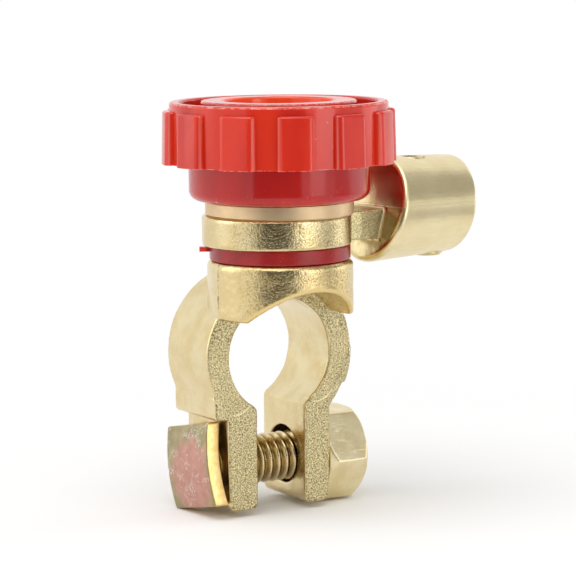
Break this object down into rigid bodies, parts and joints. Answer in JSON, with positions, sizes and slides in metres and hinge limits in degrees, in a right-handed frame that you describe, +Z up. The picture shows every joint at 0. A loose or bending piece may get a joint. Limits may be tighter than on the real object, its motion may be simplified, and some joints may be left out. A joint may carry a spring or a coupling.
{
  "type": "battery terminal disconnect switch",
  "caption": "Battery disconnect switch: a post clamp carries a swivelling cable lug, and a fluted screw knob presses a brass contact down on the lug to close the circuit.",
  "frame": {"origin": "where the knob's upright axis crosses the axis of the post bore, in the plane of the clamp ring's front face", "axes": "+Z up the knob's axis, +Y along the post bore from the front to the battery's side, +X along the clamp bolt towards its nut"},
  "size_m": [0.0524, 0.0364, 0.0651],
  "materials": {
    "clamp_brass": "rough cast, brass plated",
    "bush_plastic": "moulded, smooth",
    "lug_brass": "cast, smooth barrel",
    "grub_steel": "yellow zinc plated",
    "contact_brass": "turned",
    "knob_plastic": "moulded, satin",
    "bolt_steel": "yellow zinc plated",
    "nut_brass": "smooth"
  },
  "bodies": {
    "clamp": {"clamp_body": "clamp_brass", "insulating_bush": "bush_plastic"},
    "contact": {"contact_nut": "contact_brass"},
    "knob": {"knob": "knob_plastic"},
    "lug": {"lug_ring": "lug_brass", "lug_barrel": "lug_brass"},
    "top_grub": {"top_grub_screw": "grub_steel"},
    "bottom_grub": {"bottom_grub_screw": "grub_steel"},
    "bolt": {"clamp_bolt": "bolt_steel"},
    "nut": {"clamp_nut": "nut_brass"}
  },
  "joints": [
    {"name": "contact_lift", "type": "slide", "parent": "clamp", "child": "contact", "axis": [0, 0, 1], "range_m": [0, 0.00452]},
    {"name": "knob_turn", "type": "hinge", "parent": "contact", "child": "knob", "pos_m": [0, 0, 0.03], "axis": [0, 0, 1], "range_deg": [0, 1080]},
    {"name": "lug_swivel", "type": "hinge", "parent": "clamp", "child": "lug", "pos_m": [0, 0, 0.02], "axis": [0, 0, 1], "continuous": true},
    {"name": "top_grub_travel", "type": "slide", "parent": "lug", "child": "top_grub", "axis": [0, 0, -1], "range_m": [0, 0.002]},
    {"name": "bottom_grub_travel", "type": "slide", "parent": "lug", "child": "bottom_grub", "axis": [0, 0, 1], "range_m": [0, 0.002]},
    {"name": "nut_turn", "type": "hinge", "parent": "clamp", "child": "nut", "pos_m": [0.012, 0.0071, -0.0175], "axis": [1, 0, 0], "range_deg": [0, 1080]},
    {"name": "bolt_slide", "type": "slide", "parent": "clamp", "child": "bolt", "axis": [-1, 0, 0], "range_m": [0, 0.00425]}
  ],
  "couplings": [
    {"joint": "contact_lift", "follows": "knob_turn", "m_per_rad": 0.00023873},
    {"joint": "bolt_slide", "follows": "nut_turn", "m_per_rad": 0.00022441}
  ]
}
